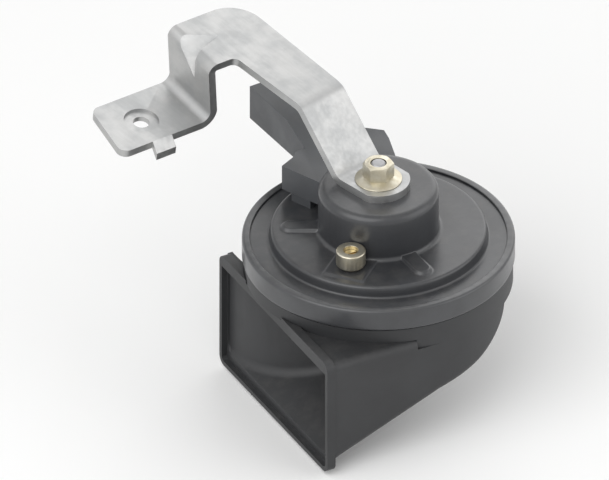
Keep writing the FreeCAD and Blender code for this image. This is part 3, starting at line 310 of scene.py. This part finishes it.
def mixedTone(tree, factor, first, second):
    # From the first colour to the second, where each is three numbers or an output.
    node = tree.nodes.new("ShaderNodeMix")
    node.data_type = "RGBA"
    tree.links.new(factor, node.inputs["Factor"])
    for socket, tone in ((node.inputs["A"], first), (node.inputs["B"], second)):
        if isinstance(tone, tuple):
            socket.default_value = (*tone, 1)
        else:
            tree.links.new(tone, socket)
    return node.outputs["Result"]


def finish(name, color, dark, metallic, roughness, shineChange, broad, fine, bump,
           marks=None, markScale=0.0, markDepth=0.0, squeeze=(1, 1, 1), heading=0.0,
           dustAmount=0.0, coat=0.0):
    # One finish: tone and shine change with the blotch effect, then marks and dust lie on top.
    # Heading turns the marks, squeeze draws them out, and bump is the depth of grain and marks in mm.
    material = bpy.data.materials.new(name)
    material.use_nodes = True
    tree = material.node_tree
    surface = tree.nodes["Principled BSDF"].inputs
    surface["Metallic"].default_value = metallic
    if coat:
        surface["Coat Weight"].default_value = coat
        surface["Coat Roughness"].default_value = film["coatRoughness"]
    place = tree.nodes.new("ShaderNodeTexCoord").outputs["Object"]
    blotched = effectNode(tree, blotch, {"Position": place, "Broad Scale": broad, "Fine Scale": fine})
    shade = mixedTone(tree, blotched["Broad"], color, dark)
    shine = mathNode(tree, "MULTIPLY_ADD", blotched["Broad"], shineChange, roughness)
    height = blotched["Fine"]
    if marks:
        mapping = tree.nodes.new("ShaderNodeMapping")
        mapping.vector_type = "TEXTURE"
        mapping.inputs["Location"].default_value = tuple(hornOrigin)
        mapping.inputs["Rotation"].default_value = (0, 0, math.radians(heading))
        mapping.inputs["Scale"].default_value = squeeze
        tree.links.new(place, mapping.inputs["Vector"])
        group, label, scaleLabel = markGroups[marks]
        values = {"Position": mapping.outputs["Vector"], scaleLabel: markScale}
        marked = effectNode(tree, group, values)[label]
        shine = mathNode(tree, "ADD", shine, mathNode(tree, "MULTIPLY", marked, markDepth))
        height = mathNode(tree, "ADD", height, marked)
    if dustAmount:
        mask = effectNode(tree, dust, {"Position": place, "Amount": dustAmount})["Mask"]
        shade = mixedTone(tree, mask, shade, film["dustColor"])
        dulled = mathNode(tree, "MULTIPLY", mask, film["dustRoughness"])
        shine = mathNode(tree, "ADD", shine, dulled, clamp=True)
    tree.links.new(shade, surface["Base Color"])
    tree.links.new(shine, surface["Roughness"])
    relief = tree.nodes.new("ShaderNodeBump")
    relief.inputs["Strength"].default_value = 1.0
    relief.inputs["Distance"].default_value = bump * mm
    tree.links.new(height, relief.inputs["Height"])
    tree.links.new(relief.outputs["Normal"], surface["Normal"])
    return material


finishes = {
    "can_paint": finish(
        "canPaint", color=(0.030, 0.032, 0.036), dark=(0.024, 0.025, 0.028), metallic=0.0,
        roughness=0.34, shineChange=0.06, broad=45.0, fine=1100.0, bump=0.018, dustAmount=0.07, coat=0.35),
    "ring_paint": finish(
        "ringPaint", color=(0.044, 0.046, 0.050), dark=(0.034, 0.035, 0.038), metallic=0.0,
        roughness=0.30, shineChange=0.08, broad=70.0, fine=1500.0, bump=0.014,
        marks="turned", markScale=900.0, markDepth=0.05, dustAmount=0.06, coat=0.4),
    "strap_zinc": finish(
        "strapZinc", color=(0.47, 0.47, 0.465), dark=(0.41, 0.415, 0.415), metallic=1.0,
        roughness=0.33, shineChange=0.09, broad=110.0, fine=1300.0, bump=0.010,
        marks="rolled", markScale=700.0, markDepth=0.10, squeeze=(14, 1, 1), heading=armHeading),
    "fastener_zinc": finish(
        "fastenerZinc", color=(0.58, 0.55, 0.46), dark=(0.47, 0.43, 0.33), metallic=1.0,
        roughness=0.26, shineChange=0.12, broad=240.0, fine=1600.0, bump=0.010,
        marks="turned", markScale=2600.0, markDepth=0.08),
    "trumpet_plastic": finish(
        "trumpetPlastic", color=(0.028, 0.029, 0.031), dark=(0.023, 0.0235, 0.025), metallic=0.0,
        roughness=0.50, shineChange=0.06, broad=30.0, fine=2300.0, bump=0.045, dustAmount=0.05),
    "connector_plastic": finish(
        "connectorPlastic", color=(0.070, 0.074, 0.080), dark=(0.055, 0.058, 0.063), metallic=0.0,
        roughness=0.38, shineChange=0.08, broad=80.0, fine=2000.0, bump=0.020, dustAmount=0.06),
    "bobbin_plastic": finish(
        "bobbinPlastic", color=(0.72, 0.68, 0.58), dark=(0.64, 0.59, 0.48), metallic=0.0,
        roughness=0.42, shineChange=0.08, broad=90.0, fine=1800.0, bump=0.015),
    "winding_copper": finish(
        "windingCopper", color=(0.60, 0.27, 0.13), dark=(0.45, 0.18, 0.08), metallic=1.0,
        roughness=0.28, shineChange=0.08, broad=150.0, fine=1500.0, bump=0.08,
        marks="turned", markScale=2200.0, markDepth=0.10),
    "core_iron": finish(
        "coreIron", color=(0.42, 0.42, 0.43), dark=(0.34, 0.34, 0.345), metallic=1.0,
        roughness=0.36, shineChange=0.10, broad=130.0, fine=1500.0, bump=0.014,
        marks="turned", markScale=3000.0, markDepth=0.12),
    "spring_steel": finish(
        "springSteel", color=(0.50, 0.51, 0.53), dark=(0.40, 0.42, 0.46), metallic=1.0,
        roughness=0.22, shineChange=0.08, broad=70.0, fine=1500.0, bump=0.006,
        marks="rolled", markScale=900.0, markDepth=0.08, squeeze=(12, 1, 1)),
    "insulator_board": finish(
        "insulatorBoard", color=(0.36, 0.20, 0.10), dark=(0.26, 0.13, 0.06), metallic=0.0,
        roughness=0.48, shineChange=0.10, broad=220.0, fine=1700.0, bump=0.02,
        marks="rolled", markScale=1500.0, markDepth=0.08, squeeze=(8, 8, 1)),
    "gasket_fibre": finish(
        "gasketFibre", color=(0.12, 0.10, 0.085), dark=(0.08, 0.066, 0.055), metallic=0.0,
        roughness=0.80, shineChange=0.08, broad=300.0, fine=2600.0, bump=0.05),
    "contact_metal": finish(
        "contactMetal", color=(0.70, 0.70, 0.72), dark=(0.55, 0.55, 0.58), metallic=1.0,
        roughness=0.16, shineChange=0.10, broad=400.0, fine=2600.0, bump=0.006),
    "terminal_brass": finish(
        "terminalBrass", color=(0.72, 0.60, 0.35), dark=(0.60, 0.47, 0.25), metallic=1.0,
        roughness=0.26, shineChange=0.10, broad=260.0, fine=1900.0, bump=0.008,
        marks="rolled", markScale=1800.0, markDepth=0.10, squeeze=(1, 10, 1)),
}
print("finishes made:", len(finishes))


def dressNodes():
    # Every CAD node takes the finish of its slot in the record.
    for name, node in nodes.items():
        node.data.materials.clear()
        node.data.materials.append(finishes[slotOf[name]])


# Helpers for turned sheet metal
section = {
    "cornerSteps": 6,            # short sides of each rounded corner
    "straight": 88,              # degrees, half the angle at which a corner counts as straight
    "share": 0.49,               # of a side, the most that one corner's arc takes
}


def roundedLine(*corners):
    # A closed line of (r, z) through corners (r, z, radius): each corner becomes an arc that
    # touches both of its sides, found from the half angle between them.
    corners = [np.array(corner, float) for corner in corners]
    line = []
    for before, here, after in zip(corners[-1:] + corners[:-1], corners, corners[1:] + corners[:1]):
        point, radius = here[:2], here[2]
        back, ahead = before[:2] - point, after[:2] - point
        backLength, aheadLength = np.linalg.norm(back), np.linalg.norm(ahead)
        back, ahead = back / backLength, ahead / aheadLength
        half = math.acos(np.clip(back @ ahead, -1, 1)) / 2
        if radius <= 0 or half > math.radians(section["straight"]):
            line.append(point)
            continue
        cut = min(radius / math.tan(half), backLength * section["share"], aheadLength * section["share"])
        center = point + (back + ahead) / np.linalg.norm(back + ahead) * cut / math.cos(half)
        first, last = point + back * cut - center, point + ahead * cut - center
        sweep = math.atan2(first[0] * last[1] - first[1] * last[0], first @ last)
        angles = math.atan2(first[1], first[0]) + sweep * np.linspace(0, 1, section["cornerSteps"] + 1)
        reach = np.linalg.norm(first)
        line.extend(center + reach * np.stack([np.cos(angles), np.sin(angles)], axis=-1))
    return np.array(line)


def denser(line, gap, inner=0.0, outer=math.inf):
    # The same closed line with points no further apart than gap where its radius lies between
    # inner and outer. A longer side elsewhere only gets one point at gap from each of its ends.
    result = []
    for here, there in zip(line, np.roll(line, -1, axis=0)):
        length = np.linalg.norm(there - here)
        if inner <= min(here[0], there[0]) and max(here[0], there[0]) <= outer:
            parts = np.linspace(0, 1, max(1, math.ceil(length / gap)), endpoint=False)
        elif length > 3 * gap:
            parts = np.array([0, gap / length, 1 - gap / length])
        else:
            parts = np.zeros(1)
        result.append(here + (there - here) * parts[:, None])
    return np.concatenate(result)


def turnedPoints(line, columns):
    # The line of (r, z) carried round the can's axis: x = r cos a, y = r sin a.
    angles = np.linspace(0, 2 * math.pi, columns, endpoint=False)
    reach, height = line[:, 0:1], line[:, 1:2]
    return np.stack([reach * np.cos(angles), reach * np.sin(angles), height + 0 * angles], axis=-1)


def smoothRise(value):
    # 0 up to 0, 1 from 1 on, and 3 v^2 - 2 v^3 between them.
    value = np.clip(value, 0, 1)
    return value * value * (3 - 2 * value)


def fitPiece(piece, node):
    # The piece stands for its node, rides where that does and takes its finish.
    slot = slotOf[node]
    piece.data.materials.append(finishes[slot])
    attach(piece, bodyOf[node])
    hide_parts(node)


def gridPiece(name, points, node):
    # A closed surface from a grid of points in mm, whose rows and columns both run round.
    rows, columns = points.shape[:2]
    index = np.arange(rows * columns).reshape(rows, columns)
    down = np.roll(index, -1, axis=0)
    across = np.roll(index, -1, axis=1)
    corner = np.roll(down, -1, axis=1)
    faces = np.stack([index, across, corner, down], axis=-1).reshape(-1, 4)
    places = points * mm + hornOrigin
    mesh = bpy.data.meshes.new(name)
    mesh.vertices.add(rows * columns)
    mesh.vertices.foreach_set("co", places.reshape(-1).astype(np.float32))
    mesh.loops.add(faces.size)
    mesh.loops.foreach_set("vertex_index", faces.reshape(-1).astype(np.int32))
    mesh.polygons.add(len(faces))
    mesh.polygons.foreach_set("loop_start", np.arange(0, faces.size, 4, dtype=np.int32))
    mesh.update(calc_edges=True)
    mesh.validate()
    mesh.polygons.foreach_set("use_smooth", np.ones(len(faces), bool))
    fitPiece(linkPiece(name, mesh), node)
    print("made", name, "from", rows, "rows of", columns)


# Can: radii from the axis, heights from the sizes' own level, all in mm
can = {
    "sheet": 1.2,
    "flange": 48.8, "flangeTop": -0.1,
    "foot": 40.1,                # where the step up from the flange starts
    "flat": 39.3, "flatTop": 4.2,
    "boss": 22.05, "bossTop": 22.6,
    "studHole": 3.2,
    "rimRound": 0.25, "holeRound": 0.1,
    # bends as (outer face, inner face)
    "footRound": (0.9, 1.0), "flatRound": (1.1, 0.5), "bossFootRound": (1.6, 2.4), "bossTopRound": (2.6, 1.6),
    "gap": 0.5,                  # between rows on the flat
    "flatStart": 0.1,            # from the boss to the first of those rows
    "columns": 600,
    # beads and the adjuster's pad, pressed up in the flat
    "beads": 3, "beadHeading": 32.0, "beadReach": 36.0, "beadWidth": 7.5, "beadRise": 1.2, "beadFlank": 1.1,
    "padHeading": -139.4, "padReach": 35.8, "padWidth": 16.1, "padRise": 0.5, "padFlank": 0.6,
    "padStart": 0.2,             # share of the pad's flank that lies outside its outline
    "faceSlack": 0.02,           # how far under a face's height a point still belongs to it
    "innerSlack": 0.05,          # how far under the outer face the inner one ends
}


def pressedLift(x, y):
    # Height that the stamp gives the flat at x, y: rise * smooth(distance inside the outline / flank).
    # A bead's outline is a slot from the axis to its reach, and the pad's is a strip as wide as the pad.
    def alongAcross(heading):
        turn = math.radians(heading)
        return x * math.cos(turn) + y * math.sin(turn), y * math.cos(turn) - x * math.sin(turn)

    half = can["beadWidth"] / 2
    lift = np.zeros_like(x)
    for number in range(can["beads"]):
        along, across = alongAcross(can["beadHeading"] + 360 / can["beads"] * number)
        distance = np.hypot(np.maximum(along - can["beadReach"] + half, 0), across)
        distance = np.where(along > 0, distance, math.inf)
        lift = np.maximum(lift, can["beadRise"] * smoothRise((half - distance) / can["beadFlank"]))
    along, across = alongAcross(can["padHeading"])
    edge = np.minimum(can["padReach"] - along, can["padWidth"] / 2 - np.abs(across))
    pad = can["padRise"] * smoothRise(edge / can["padFlank"] + can["padStart"])
    return np.maximum(lift, np.where(along > 0, pad, 0))


def makeCan():
    # The sheet's closed section is turned about the axis. Both faces of its flat, as far as they
    # lie lower than flat + lift, are raised to that height.
    t = can["sheet"]
    flangeTop, flatTop, bossTop = can["flangeTop"], can["flatTop"], can["bossTop"]
    rim, hole = can["rimRound"], can["holeRound"]
    line = roundedLine(
        (can["flange"], flangeTop - t, rim),
        (can["flange"], flangeTop, rim),
        (can["foot"], flangeTop, can["footRound"][0]),
        (can["flat"], flatTop, can["flatRound"][0]),
        (can["boss"], flatTop, can["bossFootRound"][0]),
        (can["boss"], bossTop, can["bossTopRound"][0]),
        (can["studHole"], bossTop, hole),
        (can["studHole"], bossTop - t, hole),
        (can["boss"] - t, bossTop - t, can["bossTopRound"][1]),
        (can["boss"] - t, flatTop - t, can["bossFootRound"][1]),
        (can["flat"] - t, flatTop - t, can["flatRound"][1]),
        (can["foot"] - t, flangeTop - t, can["footRound"][1]))
    rows = denser(line, can["gap"], can["boss"] + can["flatStart"], can["flat"])
    points = turnedPoints(rows, can["columns"])
    x, y, z = points[..., 0], points[..., 1], points[..., 2]
    reach = np.hypot(x, y)
    lift = pressedLift(x, y)
    slack = can["faceSlack"]
    outside = (z >= flatTop - slack) & (reach < can["flat"])
    inside = (z >= flatTop - t - slack) & (z < flatTop - can["innerSlack"]) & (reach < can["flat"] - t)
    z = np.where(outside, np.maximum(z, flatTop + lift), z)
    z = np.where(inside, np.maximum(z, flatTop - t + lift), z)
    points[..., 2] = z
    gridPiece("drawnCan", points, "horn_can")


# Ring: radii from the axis, heights from the sizes' own level, all in mm
ring = {
    "sheet": 0.8,
    "outer": 49.9, "lip": 46.9, "under": 46.6,
    "top": ringTop, "seat": -0.1, "bottom": -8.0,
    "edgeRound": 1.0, "lipRound": 0.35, "bendRound": 0.3, "innerLipRound": 0.1,
    "gap": 0.8, "columns": 540,
    "ripple": 0.03, "ripples": 60,
    "rippleReach": 3.0,          # from the outside to where the ripple is at its full height
    "rippleFrom": 0.3,           # height over which a point belongs to the upper face
}


def makeRing():
    # The ring's rolled section is turned about the axis. Its upper lip ripples a little, as rolled
    # edges do: z changes by ripple * sin(ripples a) * (way in from the outside / reach).
    t = ring["sheet"]
    bend, innerLip, lip, edge = ring["bendRound"], ring["innerLipRound"], ring["lipRound"], ring["edgeRound"]
    line = roundedLine(
        (ring["lip"], ring["seat"], innerLip),
        (ring["outer"] - t, ring["seat"], bend),
        (ring["outer"] - t, ring["bottom"] + t, bend),
        (ring["under"], ring["bottom"] + t, innerLip),
        (ring["under"], ring["bottom"], lip),
        (ring["outer"], ring["bottom"], edge),
        (ring["outer"], ring["top"], edge),
        (ring["lip"], ring["top"], lip))
    points = turnedPoints(denser(line, ring["gap"]), ring["columns"])
    x, y, z = points[..., 0], points[..., 1], points[..., 2]
    inward = np.clip((ring["outer"] - np.hypot(x, y)) / ring["rippleReach"], 0, 1)
    wave = ring["ripple"] * np.sin(ring["ripples"] * np.arctan2(y, x)) * inward
    points[..., 2] = z + np.where(z > ring["rippleFrom"], wave, 0)
    gridPiece("rolledRing", points, "rolled_ring")


# Folded, moulded and turned pieces that keep the solid's shape, with softened edges
softPieces = {
    # node: (piece, edge radius in mm, least angle between faces in degrees, segments)
    "mounting_strap": ("foldedStrap", 0.45, 28, 3),
    "trumpet_upper": ("upperTrumpet", 0.35, 32, 2),
    "trumpet_lower": ("lowerTrumpet", 0.40, 32, 3),
    "connector_housing": ("connectorHousing", 0.35, 28, 3),
    "cone_washer": ("coneWasher", 0.15, 28, 2),
    "strap_nut": ("strapNut", 0.18, 26, 2),
    "adjuster_collar": ("adjusterCollar", 0.22, 28, 2),
    "adjusting_screw": ("adjustingScrew", 0.10, 28, 2),
    "magnet_core": ("magnetCore", 0.15, 28, 2),
    "left_terminal": ("leftBlade", 0.10, 28, 2),
    "right_terminal": ("rightBlade", 0.10, 28, 2),
}
softening = {
    "merge": 0.002 * mm,         # corners closer than this are one
    "flat": 1.0,                 # degrees, faces that differ less are one
    "sharp": 8,                  # degrees over the least angle from which an edge is shaded sharp
}
strapBend = {
    "place": (-8.2, 29.2, 47.8),     # middle of the upper bend's outer line, from the can's axis, in mm
    "tangent": 2.59,                 # mm from that line to where the bend's round starts
}


def easeStrapBend(shape):
    # The solid has a small step on its upper bend. The step's top edge slides along the sloping
    # plate to the round's tangent line, so that the round runs on into the plate.
    place = Vector(hornOrigin) + Vector(strapBend["place"]) * mm

    def away(edge):
        return ((edge.verts[0].co + edge.verts[1].co) / 2 - place).length

    stepEdge = min(shape.edges, key=away)
    heading, slope = math.radians(armHeading), math.radians(armSlope)
    along = Vector((
        math.cos(heading) * math.cos(slope), math.sin(heading) * math.cos(slope), math.sin(slope)))
    for corner in stepEdge.verts:
        corner.co += along * strapBend["tangent"] * mm


def mergedShape(node):
    # A copy of the node's loose triangles, joined at their corners, with flat faces made one.
    shape = bmesh.new()
    shape.from_mesh(nodes[node].data)
    bmesh.ops.remove_doubles(shape, verts=shape.verts, dist=softening["merge"])
    flat = math.radians(softening["flat"])
    bmesh.ops.dissolve_limit(shape, angle_limit=flat, verts=shape.verts, edges=shape.edges)
    return shape


def softenEdges():
    # Each merged copy gets a Bevel, which rounds the corners of the real piece.
    for node, (name, radius, angle, segments) in softPieces.items():
        shape = mergedShape(node)
        if node == "mounting_strap":
            easeStrapBend(shape)
        mesh = bpy.data.meshes.new(name)
        shape.to_mesh(mesh)
        shape.free()
        mesh.polygons.foreach_set("use_smooth", np.ones(len(mesh.polygons), bool))
        mesh.set_sharp_from_angle(angle=math.radians(angle + softening["sharp"]))
        piece = linkPiece(name, mesh)
        rounding = piece.modifiers.new("rounding", "BEVEL")
        rounding.width = radius * mm
        rounding.segments = segments
        rounding.limit_method = "ANGLE"
        rounding.angle_limit = math.radians(angle)
        rounding.harden_normals = True
        fitPiece(piece, node)
        print("softened", name, len(mesh.polygons), "faces")


placeCamera()
placeLamps()
placeRoom()
placeFloor()
print("camera, light and floor placed")
dressNodes()
makeCan()
makeRing()
print("can and ring made")
softenEdges()
print("edges softened")
